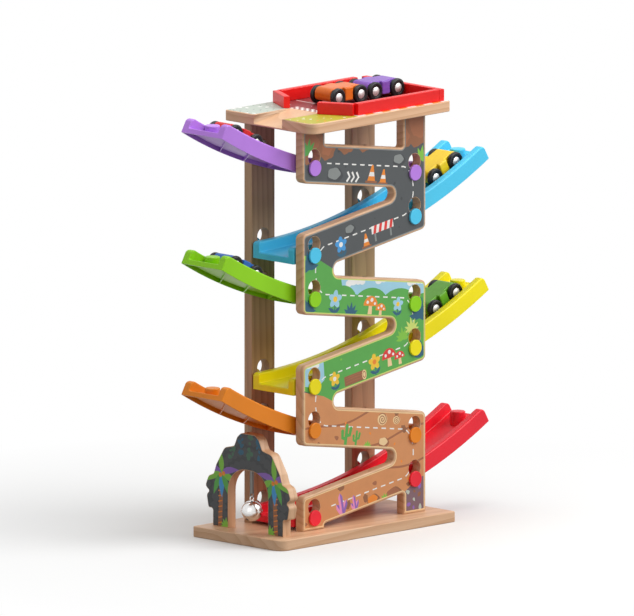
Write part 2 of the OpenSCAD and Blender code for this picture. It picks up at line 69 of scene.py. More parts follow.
camera = new_object("view", bpy.data.cameras.new("view"))
camera.data.type = "ORTHO"
camera.data.ortho_scale = photo_width_px * pixel
camera.location = view_target + view_distance * towards_view
camera.rotation_euler = towards_view.to_track_quat("Z", "Y").to_euler()
scene.camera = camera


# The floor and the light: a pale seamless studio floor that fades into white, a large soft lamp high
# at the front right, a weaker one overhead, a faint one at the left, and an even white surround.
class Wire:
    """One output of a shader node. Arithmetic on wires adds Math nodes to their tree."""

    def __init__(self, tree, socket=None):
        self.tree = tree
        self.socket = socket

    def add(self, kind, settings={}, inputs={}, output=0):
        """Adds a node: its settings first, then the values or wires of its sockets."""
        node = self.tree.nodes.new("ShaderNode" + kind)
        for name, value in settings.items():
            setattr(node, name, value)
        for key, value in inputs.items():
            if isinstance(value, Wire):
                self.tree.links.new(value.socket, node.inputs[key])
            else:
                node.inputs[key].default_value = value
        return Wire(self.tree, node.outputs[output] if node.outputs else None)

    def maths(self, operation, *values):
        return self.add("Math", {"operation": operation}, dict(enumerate(values)))

    def ramp(self, low, high):
        """Goes from 0 to 1 as the wire goes from low to high, and stays there."""
        return self.add("MapRange", {}, {0: self, 1: low, 2: high})

    def blend(self, first, second):
        """The first colour where the wire is 0 and the second where it is 1."""
        first = (*first, 1) if isinstance(first, tuple) else first
        second = (*second, 1) if isinstance(second, tuple) else second
        return self.add("Mix", {"data_type": "RGBA"}, {0: self, 6: first, 7: second}, 2)

    def stretched(self, x, y, z):
        """The wire's vector with each coordinate multiplied."""
        return self.add("VectorMath", {"operation": "MULTIPLY"}, {0: self, 1: (x, y, z)})

    def noise(self, scale, detail):
        return self.add("TexNoise", {}, {"Vector": self, "Scale": scale, "Detail": detail})

    def __add__(self, other):
        return self.maths("ADD", self, other)

    def __sub__(self, other):
        return self.maths("SUBTRACT", self, other)

    def __mul__(self, other):
        return self.maths("MULTIPLY", self, other)

    __radd__ = __add__


floor_half = 6
floor_colour = (0.93, 0.93, 0.925)
floor_bounce = (0.28, 0.28, 0.28)
fade_near = 0.13
fade_far = 0.62
surround_strength = 0.36


def shown_directly(wire):
    """1 for what the camera, a mirror or glass sees, and 0 for light that falls on the object."""
    rays = [wire.add("LightPath", output=name)
            for name in ("Is Camera Ray", "Is Glossy Ray", "Is Transmission Ray")]
    return (rays[0] + rays[1] + rays[2]).ramp(0, 1)


floor_mesh = bpy.data.meshes.new("floor")
floor_corners = [(x * floor_half, y * floor_half, 0) for x, y in ((-1, -1), (1, -1), (1, 1), (-1, 1))]
floor_mesh.from_pydata(floor_corners, [], [(0, 1, 2, 3)])
floor = new_object("floor", floor_mesh)
floor_finish = bpy.data.materials.new("floor")
floor_finish.use_nodes = True
floor_tree = floor_finish.node_tree
floor_tree.nodes.clear()
floor_wire = Wire(floor_tree)
away = floor_wire.add("VectorMath", {"operation": "LENGTH"},
                      {0: floor_wire.add("NewGeometry", output="Position")}, "Value")
seen = shown_directly(floor_wire)
white_share = away.ramp(fade_near, fade_far) * seen
matt = floor_wire.add("BsdfDiffuse", {}, {"Color": seen.blend(floor_bounce, floor_colour)})
white = floor_wire.add("Emission", {}, {"Color": (1, 1, 1, 1), "Strength": 1})
floor_shade = floor_wire.add("MixShader", {}, {0: white_share, 1: matt, 2: white})
floor_wire.add("OutputMaterial", {}, {"Surface": floor_shade})
floor_mesh.materials.append(floor_finish)

world = bpy.data.worlds.new("studio")
scene.world = world
world.use_nodes = True
world_wire = Wire(world.node_tree)
surround = world.node_tree.nodes["Background"]
surround.inputs["Color"].default_value = (1, 1, 1, 1)
surround_level = shown_directly(world_wire) * (1 - surround_strength) + surround_strength
world.node_tree.links.new(surround_level.socket, surround.inputs["Strength"])

lamps = {
    "key": ((0.85, -1.35, 1.5), 1.3, 32),
    "overhead": ((-0.2, 0.1, 1.9), 1.2, 13),
    "left_fill": ((-1.7, -0.5, 0.6), 1.2, 2.4),
}
for lamp_name, (place, size, power) in lamps.items():
    lamp = new_object(lamp_name, bpy.data.lights.new(lamp_name, "AREA"))
    lamp.data.size = size
    lamp.data.energy = power
    lamp.location = place
    lamp.rotation_euler = (Vector(place) - view_target).to_track_quat("Z", "Y").to_euler()
    lamp.visible_camera = False


# The base board: a sanded plywood board with a clear lacquer. Its edges are rounded, its front left corner
# is round, and screws from below hold what stands on it.
def srgb(red, green, blue):
    """A colour as a shader wants it, from its usual 0 to 255 values."""
    def linear(value):
        value = value / 255
        return value / 12.92 if value <= 0.04045 else ((value + 0.055) / 1.055) ** 2.4
    return linear(red), linear(green), linear(blue)


def new_finish(name, **constants):
    """A material, its shader with constant sockets set, and a wire of the object's own coordinates."""
    material = bpy.data.materials.new(name)
    material.use_nodes = True
    shader = material.node_tree.nodes["Principled BSDF"]
    for socket, value in constants.items():
        shader.inputs[socket.replace("_", " ")].default_value = value
    place = Wire(material.node_tree).add("TexCoord", output="Object")
    return material, shader, place


def feed(shader, **wires):
    """Links wires to a shader's sockets."""
    for socket, wire in wires.items():
        wire.tree.links.new(wire.socket, shader.inputs[socket.replace("_", " ")])


def bump(height, depth):
    """A surface normal from a height of 0 to 1 that stands for so many metres."""
    return height.add("Bump", {}, {"Strength": 1.0, "Distance": depth, "Height": height})


ring_gap = 7 * mm
ring_bow = 9 * mm


def birch(name, grain, light, dark, heart):
    """Pale wood with growth rings about a heart line that runs along the grain, 0, 1 or 2 for X, Y or Z."""
    material, shader, place = new_finish(name, Coat_Weight=0.12, Coat_Roughness=0.25)
    stretch = [1.0, 1.0, 1.0]
    stretch[grain] = 0.06
    along = place.stretched(*stretch)
    from_heart = along.add("VectorMath", {"operation": "SUBTRACT"}, {0: along, 1: heart})
    radius = from_heart.add("VectorMath", {"operation": "LENGTH"}, {0: from_heart}, "Value")
    bowed = radius + (along.noise(14, 3) - 0.5) * (2 * ring_bow)
    rings = bowed * (1 / ring_gap)
    ring = rings.maths("FRACT", rings)
    late = ring.ramp(0.35, 0.95) * ring.ramp(1.0, 0.95)
    stretch[grain] = 0.02
    fibre = place.stretched(*stretch).noise(1500, 2)
    patch = along.noise(22, 2)
    share = (late * 0.5 + patch.ramp(0.35, 0.7) * 0.35 + fibre.ramp(0.35, 0.75) * 0.25).ramp(0, 1)
    feed(shader, Base_Color=share.blend(light, dark), Roughness=0.42 + fibre * 0.14,
         Normal=bump(fibre * 0.6 + late * 0.4, 0.06 * mm))
    return material


level_slack = 0.005 * mm
sharpest = 0.3


def flat_loops(node, axis, at):
    """Outlines of a node's flat faces at one place along an axis: 2-D loops, with the wood on their left."""
    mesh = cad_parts[node].data
    u, v = (axis + 1) % 3, (axis + 2) % 3
    spots = [(round(p.co[u] / mm, 4), round(p.co[v] / mm, 4)) for p in mesh.vertices]
    level = [abs(p.co[axis] - at) < level_slack for p in mesh.vertices]
    sides = set()
    for face in mesh.polygons:
        if all(level[i] for i in face.vertices):
            corners = [spots[i] for i in face.vertices]
            if face.normal[axis] < 0:
                corners.reverse()
            sides.update(zip(corners, corners[1:] + corners[:1]))
    following = {a: b for a, b in sides if (b, a) not in sides and a != b}
    loops = []
    while following:
        start, spot = following.popitem()
        loop = [start]
        while spot != start:
            loop.append(spot)
            spot = following.pop(spot)
        loops.append(loop)
    return loops


def towards(start, end):
    """The direction from one 2-D point to another."""
    return Vector((end[0] - start[0], end[1] - start[1])).normalized()


def neighbours(loop):
    """Each point of a closed outline, with the one before it and the one after it."""
    return zip(loop[-1:] + loop[:-1], loop, loop[1:] + loop[:1])


def inset(loop, distance):
    """A closed outline moved to its left by a distance."""
    moved = []
    for before, here, after in neighbours(loop):
        a, b = towards(before, here), towards(here, after)
        reach = distance / max(1 + a.dot(b), sharpest)
        moved.append((here[0] - (a.y + b.y) * reach, here[1] + (a.x + b.x) * reach))
    return moved


hole_edge = 0.4


def slab(loops, axis, low, high, edge, steps=4):
    """A board cut to outlines in millimetres, from low to high along an axis, with rounded edges."""
    bm = bmesh.new()
    turns = [k / steps * pi / 2 for k in range(steps + 1)]
    ends = ([], [])
    for loop in loops:
        soft = edge if area(loop) > 0 else hole_edge
        section = [(soft * (1 - sin(t)), low + soft * (1 - cos(t))) for t in turns]
        section += [(d, low + high - h) for d, h in reversed(section)]
        rings = []
        for depth, height in section:
            ring = []
            for spot in inset(loop, depth):
                place = [0, 0, 0]
                place[axis] = height
                place[(axis + 1) % 3] = spot[0]
                place[(axis + 2) % 3] = spot[1]
                ring.append(bm.verts.new(place))
            rings.append(ring)
        skin(bm, rings, True)
        for end, ring in zip(ends, (rings[0], rings[-1])):
            end.extend(bm.edges.get((a, b)) for a, b in zip(ring, ring[1:] + ring[:1]))
    for end in ends:
        bmesh.ops.triangle_fill(bm, edges=end, use_beauty=True)
    return bm


def skin(bm, rings, closed):
    """Faces between neighbouring rings of points; closed joins each ring's end to its start."""
    for ring, after in zip(rings, rings[1:]):
        count = len(ring) if closed else len(ring) - 1
        for i in range(count):
            j = (i + 1) % len(ring)
            corners = [ring[i], ring[j], after[j], after[i]]
            unique = [c for k, c in enumerate(corners) if c not in corners[:k]]
            if len(unique) > 2:
                bm.faces.new(unique)


def settle(name, bm, finish, body, slot, *nodes):
    """Makes a mesh in millimetres into a piece that rides on a body and stands for CAD nodes."""
    bm.transform(Matrix.Scale(mm, 4))
    mesh = bpy.data.meshes.new(name)
    bm.to_mesh(mesh)
    bm.free()
    mesh.materials.append(finish)
    obj = new_object(name, mesh)
    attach(obj, body)
    if nodes:
        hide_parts(*nodes)
    return obj


crease = radians(50)


def soften(obj):
    """Smooth shading that keeps sharp edges sharp and flat faces flat."""
    obj.data.shade_smooth()
    obj.data.set_sharp_from_angle(angle=crease)
    flats = obj.modifiers.new("flat faces", "WEIGHTED_NORMAL")
    flats.keep_sharp = True


def piece(name, bm, finish, body, slot, *nodes):
    """A solid piece from a closed mesh."""
    bmesh.ops.recalc_face_normals(bm, faces=bm.faces)
    obj = settle(name, bm, finish, body, slot, *nodes)
    soften(obj)
    return obj


def area(loop):
    """Twice the area inside an outline; holes come out negative."""
    return sum(a[0] * b[1] - b[0] * a[1] for a, b in zip(loop, loop[1:] + loop[:1]))


def board(node, axis, edge, pierced=False):
    """A rounded board in the place of a CAD node; only a pierced one keeps the holes in its lower face."""
    low, high = (corner[axis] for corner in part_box(node))
    loops = flat_loops(node, axis, low)
    return slab(loops if pierced else [max(loops, key=area)], axis, low / mm, high / mm, edge)


wood_light = srgb(234, 192, 154)
wood_dark = srgb(205, 155, 114)
board_edge = 1.2
lying_wood = birch("lying_birch", 0, wood_light, wood_dark, (0.2, 0.06, -0.12))
piece("base_board_wood", board("base_board", 2, board_edge), lying_wood, "tower", "birch", "base_board")

# The front panel: a plywood board sawn into a zigzag of slanting bands, one in front of each ramp. Keyholes
# take the ramps' pegs, and its face is printed up to the rounded edge.
panel_edge = 1.9
sawn_light = srgb(226, 184, 145)
sawn_dark = srgb(196, 148, 108)
panel_wood = birch("panel_birch", 0, sawn_light, sawn_dark, (0.1, -0.1, 0.2))
panel_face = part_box("front_panel")[0].y
panel_board = board("front_panel", 1, panel_edge, True)
piece("front_panel_wood", panel_board, panel_wood, "tower", "birch", "front_panel")

# The front panel's print: flat inks on its face, up to a pale rim along the rounded edge. A road runs
# down its bands, from grey rock past green hills to brown earth.
print_t = 0.06
print_join = 0.002
rim_from = 2.3
rim_to = 3.5
keyhole_rim = 0.5
ink = {
    "road": srgb(74, 78, 80), "tar": srgb(58, 61, 64), "slate": srgb(138, 143, 141),
    "white": srgb(250, 249, 244), "sky": srgb(166, 216, 236), "hill": srgb(88, 170, 74),
    "grass": srgb(132, 196, 66), "pine": srgb(34, 92, 118), "earth": srgb(219, 148, 94),
    "clay": srgb(168, 104, 68), "sand": srgb(250, 214, 160), "bark": srgb(150, 96, 62),
    "orange": srgb(244, 142, 44), "red": srgb(226, 56, 50), "yellow": srgb(252, 206, 58),
    "blue": srgb(72, 158, 222), "violet": srgb(146, 104, 190), "pink": srgb(242, 150, 196),
    "plum": srgb(126, 96, 106), "lime": srgb(214, 230, 120), "coal": srgb(62, 64, 66),
    "soot": srgb(44, 46, 48), "moss": srgb(62, 104, 78), "maroon": srgb(140, 42, 46),
    "olive": srgb(186, 178, 44), "mist": srgb(190, 200, 188),
}


def disc(across, up=None, count=16):
    """An ellipse by its half width and half height."""
    return [(across * cos(tau * k / count), (up or across) * sin(tau * k / count)) for k in range(count)]


def bend(centre, radius, start, end, steps=4):
    """Points of an arc, with angles in degrees."""
    angles = [radians(start + (end - start) * k / steps) for k in range(steps + 1)]
    return [(centre[0] + radius * cos(a), centre[1] + radius * sin(a)) for a in angles]


def lump(radius, lobes, depth, squash=1.0, count=24):
    """A round shape with soft lobes."""
    turns = [tau * k / count for k in range(count)]
    reach = [radius * (1 + depth * cos(lobes * a)) for a in turns]
    return [(r * cos(a), squash * r * sin(a)) for a, r in zip(turns, reach)]


def leaf(length, width, bow=0.0, steps=5):
    """A pointed leaf along +x from its stalk; bow bends its tip sideways."""
    under, over = [], []
    for k in range(steps + 1):
        along = k / steps
        half = width / 2 * sin(pi * along ** 0.8)
        middle = bow * length * along ** 2
        under.append((length * along, middle - half))
        over.append((length * along, middle + half))
    return under + over[-2:0:-1]


def stroke(line, width):
    """A line drawn with an even width."""
    left, right = [], []
    for before, here, after in zip(line[:1] + line[:-1], line, line[1:] + line[-1:]):
        step = towards(before, after) * width / 2
        left.append((here[0] - step.y, here[1] + step.x))
        right.append((here[0] + step.y, here[1] - step.x))
    return right + left[::-1]


def block(low_x, low_y, high_x, high_y):
    return [(low_x, low_y), (high_x, low_y), (high_x, high_y), (low_x, high_y)]


def put(shapes, x, y, turn=0, size=1.0):
    """Shapes turned by degrees, scaled and set down at a place."""
    c, s = size * cos(radians(turn)), size * sin(radians(turn))
    return [(tone, [(x + u * c - v * s, y + u * s + v * c) for u, v in outline]) for tone, outline in shapes]


strew_x = 0.754877
strew_y = 0.569840


def scatter(count, low_x, low_y, high_x, high_y, sizes, tones):
    """Soft blots strewn evenly over an area, in turn of each size and tone."""
    blots = []
    for k in range(count):
        x = low_x + (high_x - low_x) * (k * strew_x % 1)
        y = low_y + (high_y - low_y) * (k * strew_y % 1)
        blot = lump(sizes[k % len(sizes)], 3 + k % 3, 0.14, 0.7, 11)
        blots += put([(tones[k % len(tones)], blot)], x, y, 50 * k)
    return blots


def dashes(line, dash, gap, width):
    """Dashes of an even length along a line of points."""
    reach = [0]
    for here, after in zip(line, line[1:]):
        reach.append(reach[-1] + hypot(after[0] - here[0], after[1] - here[1]))

    def at(distance):
        i = min(bisect(reach, distance), len(line) - 1)
        share = (distance - reach[i - 1]) / (reach[i] - reach[i - 1])
        return tuple(a + (b - a) * share for a, b in zip(line[i - 1], line[i]))

    starts = [k * (dash + gap) for k in range(int(reach[-1] // (dash + gap)))]
    return [stroke([at(s + dash * part / 2) for part in range(3)], width) for s in starts]


def boulder(face, shade):
    return [(shade, lump(14, 5, 0.05, 0.7))] + put([(face, lump(11, 5, 0.06, 0.66))], -1.5, 2)


def cone():
    return [("bark", block(-9, 0, 9, 2.6)),
            ("orange", [(-6, 2.6), (6, 2.6), (1.3, 20), (-1.3, 20)]),
            ("white", [(-4.5, 7.6), (4.5, 7.6), (3.2, 12.2), (-3.2, 12.2)])]


def flower(petal, heart):
    shapes = [("pine", stroke([(0, 0), (1, 8), (0, 16)], 1.6))]
    for side in (30, 145):
        shapes += put([("pine", leaf(11, 4.4, 0.15))], 0.5, 2, side)
    for k in range(5):
        turn = 72 * k + 18
        x, y = 5 * cos(radians(turn)), 17 + 5 * sin(radians(turn))
        shapes += put([(petal, disc(5.4, 3.6))], x, y, turn)
    return shapes + put([(heart, disc(3.2))], 0, 17)


def toadstool(cap):
    shapes = [("sand", [(-3, 0), (3, 0), (2.2, 10), (-2.2, 10)]),
              (cap, bend((0, 8.5), 10, 0, 180, 14))]
    for x, y, r in ((-4.5, 12, 1.7), (1.2, 14.6, 2.1), (6, 11, 1.5)):
        shapes += put([("white", disc(r))], x, y)
    return shapes


def cloud():
    shapes = []
    for x, y, r in ((-10, 0, 5), (-3, 2.5, 7), (5, 1.5, 6), (11, -0.5, 4.5)):
        shapes += put([("white", disc(r, 0.8 * r))], x, y)
    return shapes


def tuft(tone, length, width, leaves=7):
    """Leaves that fan out from one spot."""
    shapes = []
    for k in range(leaves):
        lean = k / (leaves - 1) * 2 - 1
        blade = leaf(length * (1 - 0.3 * abs(lean)), width, 0.2 * lean)
        shapes += put([(tone, blade)], 0, 0, 90 + 72 * lean)
    return shapes


def cactus():
    shapes = []
    for line in ([(0, 0), (0, 24)], [(0, 8), (-6, 9), (-7, 17)], [(0, 12), (6, 13), (7, 21)]):
        shapes += [("hill", stroke(line, 5))] + put([("hill", disc(2.5))], *line[-1])
    return shapes


def shell():
    turns = [k * 0.35 for k in range(44)]
    spiral = [(0.62 * a * cos(a), 0.62 * a * sin(a)) for a in turns]
    return [("sand", disc(10, 9)), ("clay", stroke(spiral, 1.5))]


def crystals(face, shade):
    shapes = []
    for lean, high in ((32, 17), (-30, 19), (2, 27)):
        spike = [(-3.6, 0), (3.6, 0), (3.6, high - 5), (0, high), (-3.6, high - 5)]
        dark_side = [(0, 0), (3.6, 0), (3.6, high - 5), (0, high)]
        shapes += put([(face, spike), (shade, dark_side)], 0, 0, lean)
    return shapes


def log():
    shapes = [("bark", block(-17, -5.5, 14, 5.5))]
    shapes += [("clay", stroke([(-15, y), (0, y + 0.6), (12, y)], 0.9)) for y in (-2.6, 0.6, 3.2)]
    for tone, size in (("sand", 5.6), ("clay", 4), ("sand", 2.8)):
        shapes += put([(tone, disc(0.62 * size, size))], 14, 0)
    return shapes


def barrier():
    shapes = [("slate", block(x - 1.3, 0, x + 1.3, 16)) for x in (-12, 12)]
    shapes.append(("white", block(-17, 9, 17, 18)))
    for k in range(4):
        x = -15 + 8.4 * k
        shapes.append(("red", [(x, 9), (x + 4.2, 9), (x + 7, 18), (x + 2.8, 18)]))
    return shapes


def arrows():
    return [("white", stroke([(x - 4, 5.5), (x, 0), (x - 4, -5.5)], 2.6)) for x in (-7, 0, 7)]


def printed(name):
    """Ink on lacquered wood: the sheet's own colours, a little uneven, with a soft shine."""
    material, shader, place = new_finish(name, Coat_Weight=0.1, Coat_Roughness=0.3)
    tone = place.add("Attribute", {"attribute_name": "ink"}, output="Color")
    thin = place.noise(55, 3).ramp(0.3, 0.75)
    fleck = place.noise(1400, 1)
    deep = tone.add("VectorMath", {"operation": "SCALE"}, {0: tone, "Scale": 0.88})
    feed(shader, Base_Color=(thin * 0.7 + fleck * 0.3).blend(tone, deep), Roughness=0.46 + fleck * 0.12,
         Normal=bump(fleck, 0.015 * mm))
    return material


print_finish = printed("print_inks")


def film(name, spot, limits, shapes):
    """A thin printed sheet inside an outline and round its holes, of shapes as pairs of ink and outline.

    Later shapes cover earlier ones.
    """
    points, faces = [], []
    for loop in limits + [outline for tone, outline in shapes]:
        faces.append(list(range(len(points), len(points) + len(loop))))
        points += [Vector(p) for p in (loop if area(loop) > 0 else loop[::-1])]
    spots, _, parts, _, _, sources = geometry.delaunay_2d_cdt(points, [], faces, 1, print_join)
    bm = bmesh.new()
    tones = bm.loops.layers.float_color.new("ink")
    corners = [bm.verts.new(spot(p)) for p in spots]
    holes = set(range(1, len(limits)))
    for part, covered in zip(parts, sources):
        top = max(covered, default=0)
        if 0 in covered and top >= len(limits) and not holes.intersection(covered):
            face = bm.faces.new([corners[i] for i in part])
            for loop in face.loops:
                loop[tones] = (*ink[shapes[top - len(limits)][0]], 1)
    bmesh.ops.delete(bm, geom=[v for v in bm.verts if not v.link_faces], context="VERTS")
    obj = settle(name, bm, print_finish, "tower", "arch_print")
    thickness = obj.modifiers.new("ink", "SOLIDIFY")
    thickness.thickness = print_t * mm
    thickness.offset = 1


level_pitch = 73.3
band_lowest = 37.85
band_slope = 0.1558


def band_line(level, x):
    """Height of the line through a band's two keyholes."""
    return band_lowest + level_pitch * level + band_slope * (x if level % 2 == 0 else -x)


def on_panel(spot):
    return spot[0], panel_face / mm, spot[1]


panel_loops = [[(x, z) for z, x in reversed(loop)] for loop in flat_loops("front_panel", 1, panel_face)]
panel_outline = max(panel_loops, key=area)
panel_holes = [inset(loop, keyhole_rim) for loop in panel_loops if loop is not panel_outline]
panel_sheet = block(-110, 0, 110, 480)
meadow = [(-110, 326), (-72, 314), (-48, 300), (110, 300), (110, 148), (-46, 148), (-66, 158), (-110, 176)]
earth = [(-110, 172), (-64, 160), (-44, 150), (110, 150), (110, 0), (-110, 0)]
foot = [(52, 0), (110, 0), (110, 56), (84, 50), (60, 36), (52, 34)]
rocks = ((-84, 444, 22), (-58, 436, 13), (84, 446, 25), (62, 434, 13), (0, 437, 12), (26, 440, 14),
         (-28, 440, 14))

panel_art = [("road", panel_sheet)]
panel_art += scatter(28, -92, 320, 92, 432, (1.2, 2.2, 0.8), ("tar",))
for x, z, r in rocks:
    panel_art += put([("bark", lump(r, 7, 0.08)), ("clay", lump(0.62 * r, 5, 0.12))], x, z)
panel_art.append(("hill", meadow))
panel_art += scatter(24, -92, 160, 92, 300, (2.6, 1.6), ("grass",))
panel_art.append(("sky", [(-40, 310), (110, 310), (110, 258), (60, 252), (0, 262), (-34, 276)]))
for x, z, size in ((-14, 281, 1.0), (34, 279, 1.15), (80, 270, 0.9)):
    panel_art += put(cloud(), x, z, 0, size)
for x, z, r in ((-36, 262, 18), (8, 250, 22), (52, 242, 24), (92, 236, 20)):
    panel_art += put([("hill", disc(1.3 * r, r, 32))], x, z)
panel_art.append(("sky", [(-110, 216), (-80, 212), (-64, 204), (-62, 178), (-74, 170), (-110, 178)]))
panel_art += put(cloud(), -84, 196, 0, 0.9)
panel_art.append(("earth", earth))
for z in (64, 98, 132):
    wave = [(x, z + 4 * sin(x / 19 + z) + 0.1 * x) for x in range(-100, 101, 8)]
    panel_art.append(("clay", stroke(wave, 2.4)))
panel_art += scatter(26, -92, 20, 92, 148, (3.4, 1.8, 5.2), ("clay", "orange", "bark"))
panel_art.append(("plum", foot))
panel_art += scatter(12, 58, 14, 94, 46, (2.2, 3.2), ("mist", "bark", "violet"))

road_over = 6
road_half = 58
road_step = 3.5
row_points = 34
turn_out = 18
turn_steps = 24
road_dash = 7
road_gap = 6
road_mark = 1.5
road = []
for level in range(5, -1, -1):
    side = 1 if level % 2 else -1
    places = [side * (road_step * k - road_half) for k in range(row_points)]
    row = [(x, band_line(level, x) + road_over) for x in places]
    road += row
    if level:
        start, end = row[-1][1], band_line(level - 1, side * road_half) + road_over
        for t in (k * pi / turn_steps for k in range(1, turn_steps)):
            road.append((side * (road_half + turn_out * sin(t)), start + (end - start) * (1 - cos(t)) / 2))
panel_art += [("white", mark) for mark in dashes(road, road_dash, road_gap, road_mark)]

panel_motifs = (
    (boulder("slate", "tar"), 5, -46, -7, 0.9), (arrows(), 5, -16, -8, 1.0), (cone(), 5, 10, -14, 1.0),
    (cone(), 5, 28, -15, 0.85), (boulder("slate", "tar"), 5, 54, 13, 0.7),
    (tuft("hill", 19, 5), 5, -88, 14, 1.0), (tuft("grass", 17, 5), 5, 88, 14, 1.0),
    (barrier(), 4, 30, -11, 1.0), (boulder("slate", "tar"), 4, -22, 13, 0.6),
    (flower("blue", "white"), 4, -34, -15, 0.9), (cone(), 4, 4, -14, 0.8),
    (tuft("pine", 22, 6), 4, -86, -14, 1.0),
    (flower("sky", "yellow"), 3, -48, -16, 1.0), (tuft("pine", 20, 6), 3, -22, -17, 0.8),
    (toadstool("orange"), 3, 8, -14, 1.1), (toadstool("orange"), 3, 24, -16, 0.8),
    (flower("sky", "yellow"), 3, 50, -15, 0.8), (tuft("pine", 24, 7), 3, 86, -16, 1.0),
    (tuft("pine", 18, 5), 3, -88, -14, 1.0),
    (toadstool("red"), 2, 40, -10, 1.1), (toadstool("red"), 2, 56, -12, 0.8),
    (flower("yellow", "orange"), 2, 18, -14, 0.9), (log(), 2, -14, -8, 1.0),
    (flower("yellow", "white"), 2, -44, -14, 0.8), (tuft("lime", 16, 4), 2, 74, 20, 1.0),
    (tuft("pine", 18, 5), 2, 90, -12, 1.0), (tuft("grass", 15, 4), 2, 60, 14, 1.0),
    (shell(), 1, 28, 16, 0.75), (shell(), 1, 50, 16, 0.55), (cactus(), 1, -30, -15, 0.9),
    (cactus(), 1, -14, -15, 0.65), (tuft("grass", 9, 3), 1, 4, -17, 1.0),
    (boulder("sand", "clay"), 1, 30, -10, 0.6),
    (crystals("pink", "violet"), 0, -34, -8, 0.9), (crystals("pink", "violet"), 0, -14, -9, 0.65),
    (boulder("orange", "bark"), 0, 14, -6, 0.7), (boulder("clay", "bark"), 0, 46, -9, 0.9),
    (tuft("grass", 10, 3), 0, 32, -12, 1.0),
)
for shapes, level, x, over, size in panel_motifs:
    lean = band_slope * 180 / pi * (1 if level % 2 == 0 else -1)
    panel_art += put(shapes, x, band_line(level, x) + over, lean, size)
film("front_panel_print", on_panel, [inset(panel_outline, rim_to)] + panel_holes, panel_art)
film("front_panel_rim", on_panel, [inset(panel_outline, rim_from), inset(panel_outline, rim_to)],
     [("slate", panel_sheet), ("lime", meadow), ("sand", earth)])

# The rear posts: two straight plywood boards behind the ramps, with a column of keyholes each. Screws hold
# them on the base board, and dowels hold the top board on them.
post_edge = 1.0
# The posts' wood is painted darker than the other boards: painted shade for the shade that the top board and
# the ramps cast on them.
standing_wood_painted_shade = birch("standing_birch_painted_shade", 2, srgb(190, 152, 116), srgb(152, 114, 82), (0.14, -0.06, 0.1))
for post in ("rear_post_left", "rear_post_right"):
    piece(post + "_wood", board(post, 1, post_edge, True), standing_wood_painted_shade, "tower", "birch", post)

# The ramps: each is one glossy plastic moulding, a U-shaped track with hollow double walls, open below,
# with thin slanting ribs under its floor and a round stud at its outer end that stops a car.
ramp_names = ("red", "orange", "yellow", "green", "blue", "purple")
ramp_colours = {
    "red": srgb(252, 36, 56), "orange": srgb(244, 140, 24), "yellow": srgb(255, 238, 8),
    "green": srgb(148, 218, 12), "blue": srgb(84, 212, 252), "purple": srgb(194, 134, 236),
}
lowest_ramp = 15.9
low_over = 96
ramp_y = 1
ramp_run = 304
ramp_half = 32
channel_half = 22.6
under_r = 610
side_h = 18.5
floor_h = 7.1
floor_r = 610
skin_t = 2.2
floor_t = 2.6
outer_round = 6
low_round = 4
end_edge = 1.3
ramp_end = asin(ramp_run / under_r)
floor_c = floor_h + floor_r
rib_t = 1.2
rib_pitch = 37
rib_skew = 54
rib_bite = 0.3
rib_lift = 0.1
stop_r = 8.5
stop_back = 5.7
stop_h = 4
stop_rim = 1.4
stop_root = 1
stop_points = 40


def plastic(name, colour):
    """Moulded plastic: an even colour, a fine spark-eroded skin and slightly cloudy gloss."""
    material, shader, place = new_finish(name, Specular_IOR_Level=0.36)
    flow = place.noise(18, 2)
    deep = tuple(0.88 * c for c in colour)
    skin_grain = place.noise(2600, 1)
    feed(shader, Base_Color=flow.ramp(0.3, 0.75).blend(colour, deep),
         Roughness=0.3 + flow * 0.12 + skin_grain * 0.06, Normal=bump(skin_grain, 0.012 * mm))
    return material


def level_frame(level):
    """Where a ramp's own frame stands: low end at x = 0, running up along +x."""
    right = level % 2 == 0
    place = Matrix.Translation((-low_over if right else low_over, ramp_y, lowest_ramp + level * level_pitch))
    return place @ Matrix.Rotation(0 if right else pi, 4, "Z")


def on_ramp(angle, across, height):
    """A point in a ramp's frame, by its angle up the lower edge and its height over that edge."""
    return Vector(((under_r - height) * sin(angle), across, under_r - (under_r - height) * cos(angle)))


def floor_height(angle):
    """Height of the floor over the lower edge."""
    offset = under_r - floor_c
    return under_r - cos(angle) * offset - sqrt(floor_r ** 2 - (sin(angle) * offset) ** 2)


def rounding(distance, radius):
    """How far a rounded corner has dropped at a distance from the end."""
    return radius - sqrt(radius ** 2 - (radius - distance) ** 2) if distance < radius else 0


def ramp_stations():
    """Angles up the ramp, close together where the ends are rounded."""
    near = sorted({r * (1 - cos(k * pi / 12)) for r in (end_edge, low_round, outer_round)
                   for k in range(7)})
    length = ramp_end * under_r
    middle = [outer_round + (length - 2 * outer_round) * k / 40 for k in range(1, 40)]
    return [d / under_r for d in near + middle + [length - d for d in reversed(near)]]


def ramp_outside(angle):
    """The track's outer section, from the left lower edge over the walls and the floor to the right one."""
    from_low, from_outer = angle * under_r, (ramp_end - angle) * under_r
    pinch = rounding(from_low, end_edge) + rounding(from_outer, end_edge)
    top = side_h - rounding(from_low, low_round) - rounding(from_outer, outer_round)
    base = floor_height(angle) - pinch
    outer, inner = ramp_half - pinch, channel_half + pinch
    share = min(1, (top - base) / 3.4)
    crown, lip, foot, hem = 2.0 * share, 1.6 * share, 1.5 * share, 0.4
    half = bend((outer - hem, hem), hem, -90, 0, 2) + bend((outer - crown, top - crown), crown, 0, 90)
    half += bend((inner + lip, top - lip), lip, 90, 180) + bend((inner - foot, base + foot), foot, 0, -90)
    return [(-y, h) for y, h in half] + [(y, h) for y, h in reversed(half)]


def ramp_inside(angle):
    """The hollow's section: up into the double walls and under the floor."""
    outer, inner = ramp_half - skin_t, channel_half + skin_t
    top, base = side_h - skin_t, floor_height(angle) - floor_t
    half = [(outer, 0), (outer, top), (inner, top), (inner, base)]
    return [(-y, h) for y, h in half] + [(y, h) for y, h in reversed(half)]


